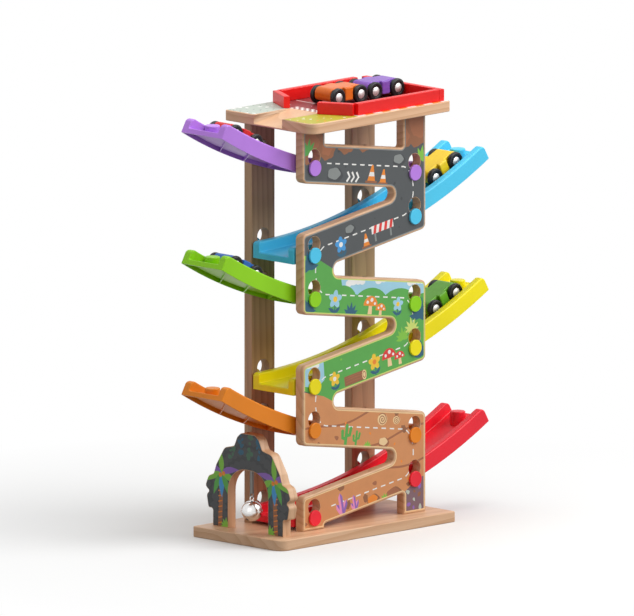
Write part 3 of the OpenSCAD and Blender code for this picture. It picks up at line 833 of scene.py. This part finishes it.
def capped(bm, rings):
    """A solid from closed rings of points, with a face at each end."""
    skin(bm, rings, True)
    bm.faces.new(rings[0])
    bm.faces.new(rings[-1])


def add_ribs(bm):
    """Thin plates that slant across the hollow."""
    reach = ramp_half - skin_t + rib_bite
    steps = 8
    middle = ramp_run - outer_round - rib_skew / 2
    while middle > rib_skew / 2:
        rings = []
        for k in range(steps + 1):
            across = reach * (2 * k / steps - 1)
            along = middle + across / ramp_half * rib_skew / 2
            ring = []
            for shift, top in ((-0.5, 0), (0.5, 0), (0.5, 1), (-0.5, 1)):
                angle = asin((along + shift * rib_t) / under_r)
                inside_wall = abs(across) > channel_half + skin_t
                high = side_h - skin_t if inside_wall else floor_height(angle) - floor_t
                ring.append(bm.verts.new(on_ramp(angle, across, high + rib_bite if top else rib_lift)))
            rings.append(ring)
        capped(bm, rings)
        middle -= rib_pitch


def add_stop(bm):
    """An upright round stud on the floor."""
    floor_end = on_ramp(ramp_end, 0, floor_height(ramp_end))
    top = floor_end.z + stop_h
    outline = bend((floor_end.x - stop_back - stop_r, 0), stop_r, 0, 360 - 360 / stop_points, stop_points - 1)
    rings = [[(x, y, floor_c - sqrt(floor_r ** 2 - x ** 2) - stop_root) for x, y in outline]]
    for k in range(6):
        turn = k / 5 * pi / 2
        depth, height = stop_rim * (1 - cos(turn)), top - stop_rim * (1 - sin(turn))
        rings.append([(x, y, height) for x, y in inset(outline, depth)])
    capped(bm, [[bm.verts.new(spot) for spot in ring] for ring in rings])


def ramp_mesh():
    bm = bmesh.new()
    angles = ramp_stations()
    inner_angles = [(skin_t + (ramp_end * under_r - 2 * skin_t) * a / ramp_end) / under_r for a in angles]
    outside = [[bm.verts.new(on_ramp(a, y, h)) for y, h in ramp_outside(a)] for a in angles]
    inside = [[bm.verts.new(on_ramp(a, y, h)) for y, h in ramp_inside(a)] for a in inner_angles]
    skin(bm, outside, False)
    skin(bm, inside, False)
    for side in (0, -1):
        skin(bm, [[ring[side] for ring in outside], [ring[side] for ring in inside]], False)
    for end in (0, -1):
        bm.faces.new(outside[end])
        bm.faces.new(inside[end])
        bm.faces.new([outside[end][0], outside[end][-1], inside[end][-1], inside[end][0]])
    add_ribs(bm)
    add_stop(bm)
    return bm


ramp_finishes = {name: plastic("ramp_" + name, colour) for name, colour in ramp_colours.items()}
for level, ramp_name in enumerate(ramp_names):
    ramp_bm = ramp_mesh()
    ramp_bm.transform(level_frame(level))
    piece(f"ramp_{ramp_name}_moulding", ramp_bm, ramp_finishes[ramp_name], "tower", f"ramp_{ramp_name}",
          f"ramp_{ramp_name}")

# The pegs: four mushroom pegs of the same plastic are pressed into each ramp's sides, and their heads
# hook behind the narrow slots of the keyholes in the panel and the posts.
peg_places = ((18, 9.8), (174, 34.1))
peg_neck_r = 4.75
peg_neck_l = 13.8
peg_head_r = 8.85
peg_head_t = 2.5
peg_rim = 0.7
peg_under_rim = 0.2
peg_dish = ((1.4, 0.05), (1.7, 0.15), (peg_head_r, 0.12))
peg_stem_r = 3.5
peg_stem_l = 5.8


def turned(bm, profile, place, steps=48):
    """Turns a profile of (radius, height) round the z axis of a placed frame, from axis to axis."""
    rings = []
    for radius, height in profile:
        if radius == 0:
            rings.append([bm.verts.new(place @ Vector((0, 0, height)))] * steps)
        else:
            ring = [(radius * cos(k * tau / steps), radius * sin(k * tau / steps)) for k in range(steps)]
            rings.append([bm.verts.new(place @ Vector((x, y, height))) for x, y in ring])
    if profile[0] == profile[-1]:
        rings[-1] = rings[0]
    skin(bm, rings, True)


peg_top = peg_neck_l + peg_head_t
peg_profile = [(0, -peg_stem_l), (peg_stem_r, -peg_stem_l), (peg_stem_r, 0), (peg_neck_r, 0),
               (peg_neck_r, peg_neck_l)]
peg_profile += bend((peg_head_r - peg_under_rim, peg_neck_l + peg_under_rim), peg_under_rim, -90, 0, 2)
peg_profile += bend((peg_head_r - peg_rim, peg_top - peg_rim), peg_rim, 0, 90, 4)
peg_profile += [(peg_head_r - inwards, peg_top - deep) for inwards, deep in peg_dish]
for level, ramp_name in enumerate(ramp_names):
    peg_bm = bmesh.new()
    for along, height in peg_places:
        for side in (-1, 1):
            upright = Matrix.Rotation(-side * pi / 2, 4, "X")
            spot = Matrix.Translation((along, side * ramp_half, height))
            turned(peg_bm, peg_profile, level_frame(level) @ spot @ upright)
    piece(f"pegs_{ramp_name}_moulding", peg_bm, ramp_finishes[ramp_name], "tower", f"ramp_{ramp_name}",
          f"pegs_{ramp_name}")

# The top board: the starting deck, dowelled on to the panel and the posts. A sloping groove, milled into
# its left end, lets a car roll off on to the highest ramp.
groove_start = -48
groove_depth = 10.2
groove_low_y = -21
groove_high_y = 23
groove_over = 5
top_low, top_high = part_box("top_board")
deck = top_high.z / mm


def solid(corners, faces):
    """A small closed mesh from corners in millimetres."""
    bm = bmesh.new()
    points = [bm.verts.new(c) for c in corners]
    for face in faces:
        bm.faces.new([points[i] for i in face])
    return bm


def carve(obj, cutter_bm):
    """Cuts a closed mesh out of a piece and keeps the result as the piece's own mesh."""
    bmesh.ops.recalc_face_normals(cutter_bm, faces=cutter_bm.faces)
    cutter_bm.transform(Matrix.Scale(mm, 4))
    cutter_mesh = bpy.data.meshes.new("cutter")
    cutter_bm.to_mesh(cutter_mesh)
    cutter_bm.free()
    cutter = new_object("cutter", cutter_mesh)
    cut = obj.modifiers.new("cut", "BOOLEAN")
    cut.operation = "DIFFERENCE"
    cut.solver = "EXACT"
    cut.object = cutter
    obj.modifiers.move(len(obj.modifiers) - 1, 0)
    bpy.context.view_layer.update()
    with_cut = bpy.data.meshes.new_from_object(obj.evaluated_get(bpy.context.evaluated_depsgraph_get()))
    obj.modifiers.clear()
    obj.data = with_cut
    bpy.data.objects.remove(cutter)
    soften(obj)


top_board = piece("top_board_wood", board("top_board", 2, board_edge), lying_wood, "tower", "birch",
                  "top_board")
groove_left = top_low.x / mm - groove_over
groove_slope = groove_depth / (groove_start - top_low.x / mm)
groove_ends = [(groove_start, deck), (groove_left, deck - groove_slope * (groove_start - groove_left)),
               (groove_left, deck + groove_over), (groove_start, deck + groove_over)]
groove_corners = [(x, y, z) for y in (groove_low_y, groove_high_y) for x, z in groove_ends]
carve(top_board, solid(groove_corners, [(0, 1, 2, 3), (4, 5, 6, 7), (0, 1, 5, 4), (1, 2, 6, 5), (2, 3, 7, 6),
                                        (3, 0, 4, 7)]))


# The deck's print: a dark red parking floor with white bays inside the fence, a checked strip before the
# groove, a striped border along the front and pale ground at the left end.
def on_deck(spot):
    return spot[0], spot[1], deck


deck_edge = 1.5
check = 4
bay_pitch = 26
bay_l = 28
bay_line = (-8, -6.4)
stripe_w = 13
stripe_lean = 4
deck_outline = max(flat_loops("top_board", 2, top_high.z), key=area)
deck_art = [("mist", block(-120, 0, 120, 80)), ("olive", block(-120, -80, 120, 0))]
deck_art += scatter(30, -104, 24, -32, 66, (1.6, 2.8, 1.1), ("slate", "white", "moss"))
deck_art += scatter(26, -104, -66, -32, -22, (1.2, 2.0), ("white", "lime", "orange"))
deck_art += [("maroon", block(-50, -58, 110, 58)),
             ("mist", [(-50, 58), (-50, 27), (-30, 40), (-30, 58)]),
             ("olive", [(-50, -58), (-30, -58), (-30, -40), (-50, -25)])]
for row in range(3):
    for k in range(12):
        tone = "white" if (row + k) % 2 else "maroon"
        x, y = -47 + check * row, -23 + check * k
        deck_art.append((tone, block(x, y, x + check, y + check)))
for k in range(5):
    left, right = (x + bay_pitch * k for x in bay_line)
    deck_art += [("white", block(left, y, right, y + bay_l)) for y in (26, -54)]
deck_art += scatter(20, -30, -22, 96, 22, (1.2, 0.8), ("pink",))
for k in range(12):
    x = -34 + stripe_w * k
    stripe = [(x, -80), (x + stripe_w, -80), (x + stripe_w + stripe_lean, -57), (x + stripe_lean, -57)]
    deck_art.append(("orange" if k % 2 else "white", stripe))
film("top_board_print", on_deck, [inset(deck_outline, deck_edge)], deck_art)

# The fence: five plain wooden bars under red lacquer, glued on the deck. Two of them make a funnel
# that leads a car to the groove.
fence_edge = 0.9


def lacquer(name, colour, deep):
    """Coloured lacquer on wood, with the grain showing faintly through its gloss."""
    material, shader, place = new_finish(name, Coat_Weight=0.1, Coat_Roughness=0.2, Specular_IOR_Level=0.35)
    grain = place.stretched(0.08, 1, 1).noise(420, 3)
    wash = place.noise(30, 2)
    share = (wash.ramp(0.3, 0.75) * 0.6 + grain.ramp(0.4, 0.75) * 0.4).ramp(0, 1)
    feed(shader, Base_Color=share.blend(colour, deep), Roughness=0.34 + grain * 0.12,
         Normal=bump(grain, 0.03 * mm))
    return material


fence_red = lacquer("fence_red", srgb(236, 20, 18), srgb(222, 12, 14))
for fence in ("fence_front", "fence_back", "fence_right", "fence_funnel_front", "fence_funnel_back"):
    piece(fence + "_bar", board(fence, 2, fence_edge), fence_red, "tower", "fence_red", fence)

# The arch: a board sawn to an outline of rocks and leaves, printed on its left face. It stands on the base
# board and carries the bell's rod.
arch_edge = 0.5
arch_wood = birch("arch_birch", 2, sawn_light, sawn_dark, (0.1, -0.2, 0.3))
piece("arch_wood", board("arch", 0, arch_edge), arch_wood, "tower", "arch_print", "arch")


# The arch's print: flat inks up to the sawn edge. Dark stone blocks with moss stand in arcs over the opening
# and in rows beside it, and a palm with coloured leaves grows on each leg.
def on_arch(spot):
    return arch_face / mm, -spot[0], spot[1]


arch_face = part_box("arch")[0].x
arch_bare = 0.6
arch_middle = -2
arch_spring = 49
arc_stone = lump(6.2, 4, 0.1, 0.8)
leg_stone = lump(6.2, 4, 0.1, 0.7)
palm_out = 41
palm_high = 72
palm_leaves = (("violet", 150, 0.3), ("grass", 190, 0.25), ("hill", 232, 0.2), ("blue", 268, 0.05),
               ("hill", 306, -0.2), ("grass", 350, -0.25), ("violet", 30, -0.3), ("grass", 90, 0.1))
arch_outline = [(-y, z) for y, z in reversed(max(flat_loops("arch", 0, arch_face), key=area))]
arch_art = [("soot", block(-80, 0, 80, 140))]
for ring, count in ((38, 15), (51, 19), (64, 23)):
    for k in range(count):
        turn = pi * (k + 0.5 * (ring % 2)) / (count - 1)
        x, z = arch_middle + ring * cos(turn), arch_spring + ring * sin(turn)
        arch_art += put([("coal", arc_stone)], x, z, 90 + turn * 180 / pi)
for row in range(4):
    for column in (-52, -39, 39, 52):
        arch_art += put([("coal", leg_stone)], arch_middle + column + 3 * (row % 2), 17 + 9 * row)
arch_art += scatter(22, -30, 92, 26, 118, (3.4, 2.2, 4.6), ("moss", "pine"))
for side in (-1, 1):
    x = arch_middle + side * palm_out
    arch_art.append(("bark", stroke([(x + side * 3, 8), (x + side, 40), (x, palm_high)], 6)))
    for z in range(16, 66, 6):
        arch_art.append(("orange", stroke([(x + side * 2 - 3, z), (x + side * 2 + 3, z + 1.5)], 1.2)))
    for tone, turn, bow in palm_leaves:
        arch_art += put([(tone, leaf(27, 8, bow))], x, palm_high, turn)
    for out, down in ((-2, 2), (3, 0)):
        arch_art += put([("orange", disc(2.6))], x + out, palm_high - down)
    arch_art += put(tuft("grass", 12, 3.4), x - side * 7, 12)
film("arch_print_sheet", on_arch, [inset(arch_outline, arch_bare)], arch_art)


# The bell: two pressed steel half shells, crimped at a flange round the middle and chromed. Its wire loop
# hangs in the eye of a steel rod that is pressed into the arch.
def metal(name, colour, rough):
    """Polished metal with faint rubbing marks."""
    material, shader, place = new_finish(name, Metallic=1.0)
    marks = place.noise(240, 3)
    feed(shader, Base_Color=marks.ramp(0.3, 0.7).blend(colour, tuple(0.92 * c for c in colour)),
         Roughness=rough + marks * 0.06)
    return material


bell_chrome = metal("bell_chrome", (0.82, 0.81, 0.8), 0.22)
rod_steel = metal("rod_steel", (0.16, 0.15, 0.14), 0.34)


def keep(node, finish):
    """Shows a CAD node as it is, in a finish."""
    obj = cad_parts[node]
    obj.data.materials.clear()
    obj.data.materials.append(finish)


for bell_node in ("bell_top_shell", "bell_bottom_shell"):
    keep(bell_node, bell_chrome)
for steel_node in ("bell_rod", "bell_ball", "base_screws"):
    keep(steel_node, rod_steel)
# The dowels take the posts' darkened wood, which is painted shade.
keep("top_dowels", standing_wood_painted_shade)

# The cars: each body is a small block of lacquered wood, narrow between its wheels and wider in the middle.
# Two steel axles with domed heads run through it, and black wheels are pressed on them.
car_colours = {
    "red": (srgb(225, 24, 28), srgb(196, 16, 22)), "yellow": (srgb(250, 216, 36), srgb(240, 196, 24)),
    "blue": (srgb(36, 110, 200), srgb(26, 88, 176)), "green": (srgb(106, 178, 40), srgb(84, 152, 30)),
    "orange": (srgb(226, 112, 22), srgb(204, 92, 16)), "purple": (srgb(138, 88, 190), srgb(116, 70, 168)),
}
car_levels = {"red": 5, "yellow": 4, "blue": 3, "green": 2}
top_car_x = {"orange": 12.4, "purple": 69.8}
lane_y = 7.5
car_park = radians(24.8)
car_l = 52
car_top = 20
car_under = 5
car_narrow = 24.6
car_mid_w = 33
car_mid_l = 12.4
car_corner = 1.5
waist_corner = 0.6
nose_r = 7
belly_r = 5
car_heights = ([car_under + belly_r * (1 - cos(k * pi / 16)) for k in range(9)]
               + [car_top - nose_r * (1 - cos(k * pi / 20)) for k in range(10, -1, -1)])
wheel_r = 10.25
wheel_w = 5.2
wheelbase = 34.5
track = 31.4
ride_gap = 0.3
axle_sag = floor_r - sqrt((floor_r - wheel_r) ** 2 - (wheelbase / 2) ** 2) - wheel_r
axle_r = 1.5
dome_r = 5
dome_h = 1.2
wheel_dish = 0.5
wheel_half = wheel_w / 2
tread_r = 1.7
side_groove = 0.25
bore_r = axle_r + 0.03


def car_frame(name):
    """Where a car stands: its wheels on z = 0, pointing along +x."""
    if name in car_levels:
        down = Matrix.Translation((0, 0, axle_sag + ride_gap - floor_r))
        place = level_frame(car_levels[name]) @ Matrix.Translation((0, 0, floor_c))
        place = place @ Matrix.Rotation(-car_park, 4, "Y") @ down
    else:
        place = Matrix.Translation((top_car_x[name], lane_y, deck + ride_gap))
    return place @ Matrix.Rotation(pi, 4, "Z")


def rounded_loop(corners):
    """A closed outline, counter-clockwise; each corner is (x, y, radius) and turns either way."""
    loop = []
    for before, here, after in neighbours(corners):
        a, b = towards(here, before), towards(here, after)
        half = a.angle(b) / 2
        centre = Vector(here[:2]) + (a + b).normalized() * here[2] / sin(half)
        start = Vector(here[:2]) + a * here[2] * cos(half) / sin(half) - centre
        turn = pi - 2 * half if b.cross(a) > 0 else 2 * half - pi
        loop += [tuple(centre + Matrix.Rotation(turn * k / 4, 2) @ start) for k in range(5)]
    return loop


def car_plan(end_cut, side_cut):
    """A car body's outline from above, narrow between the wheels, with its ends and its sides cut back."""
    end, narrow = car_l / 2 - end_cut, car_narrow / 2 - side_cut
    middle, wide = car_mid_l / 2 - side_cut, car_mid_w / 2 - side_cut
    quarter = [(end, narrow, car_corner), (middle, narrow, waist_corner), (middle, wide, car_corner)]
    half = quarter + [(-x, y, r) for x, y, r in reversed(quarter)]
    return rounded_loop(half + [(-x, -y, r) for x, y, r in half])


def car_block():
    """A car's body: a block with a round nose and tail and soft edges."""
    bm = bmesh.new()
    rings = []
    for height in car_heights:
        under, over = height - car_under, car_top - height
        outline = car_plan(rounding(under, belly_r) + rounding(over, nose_r),
                           rounding(under, car_corner) + rounding(over, car_corner))
        rings.append([bm.verts.new((x, y, height)) for x, y in outline])
    capped(bm, rings)
    return bm


axle_half = track / 2 + wheel_half - wheel_dish
dome_sphere = (dome_r ** 2 + dome_h ** 2) / 2 / dome_h
dome_turn = asin(dome_r / dome_sphere)
dome_turns = [dome_turn * k / 6 for k in range(6, -1, -1)]
dome = [(dome_sphere * sin(t), axle_half + dome_h - dome_sphere * (1 - cos(t))) for t in dome_turns]
axle_profile = [(r, -h) for r, h in reversed(dome)] + [(axle_r, -axle_half), (axle_r, axle_half)] + dome
axle_profile[0] = (0, axle_profile[0][1])
axle_profile[-1] = (0, axle_profile[-1][1])

wheel_profile = [(bore_r, -wheel_half), (wheel_r - 2 * tread_r, -wheel_half)]
wheel_profile += bend((wheel_r - tread_r, -wheel_half + tread_r), tread_r, -90, 0, 5)
wheel_profile += bend((wheel_r - tread_r, wheel_half - tread_r), tread_r, 0, 90, 5)
wheel_profile += [(wheel_r - 2.6, wheel_half), (wheel_r - 2.8, wheel_half - side_groove),
                  (wheel_r - 3.0, wheel_half - side_groove), (wheel_r - 3.2, wheel_half),
                  (dome_r + 1.5, wheel_half), (dome_r + 1, wheel_half - wheel_dish),
                  (bore_r, wheel_half - wheel_dish), (bore_r, -wheel_half)]

black_rubber = plastic("tyre_black", srgb(24, 24, 26))
axle_chrome = metal("axle_chrome", (0.68, 0.67, 0.66), 0.5)
for car_name, paints in car_colours.items():
    stand = car_frame(car_name)
    body_bm = car_block()
    body_bm.transform(stand)
    car = f"car_{car_name}"
    piece(car + "_block", body_bm, lacquer(car, *paints), car, car, car + "_body")
    for end, along in (("front", wheelbase / 2), ("rear", -wheelbase / 2)):
        axle_bm, wheel_bm = bmesh.new(), bmesh.new()
        across = stand @ Matrix.Translation((along, 0, wheel_r)) @ Matrix.Rotation(-pi / 2, 4, "X")
        turned(axle_bm, axle_profile, across)
        for side in (-1, 1):
            hub = Matrix.Translation((along, side * track / 2, wheel_r))
            turned(wheel_bm, wheel_profile, stand @ (hub @ Matrix.Rotation(-side * pi / 2, 4, "X")), 64)
        pair = f"{car}_{end}"
        piece(pair + "_axle_pin", axle_bm, axle_chrome, pair, "axle_chrome", pair + "_axle")
        piece(pair + "_tyres", wheel_bm, black_rubber, pair, "tyre_black", pair + "_wheels")
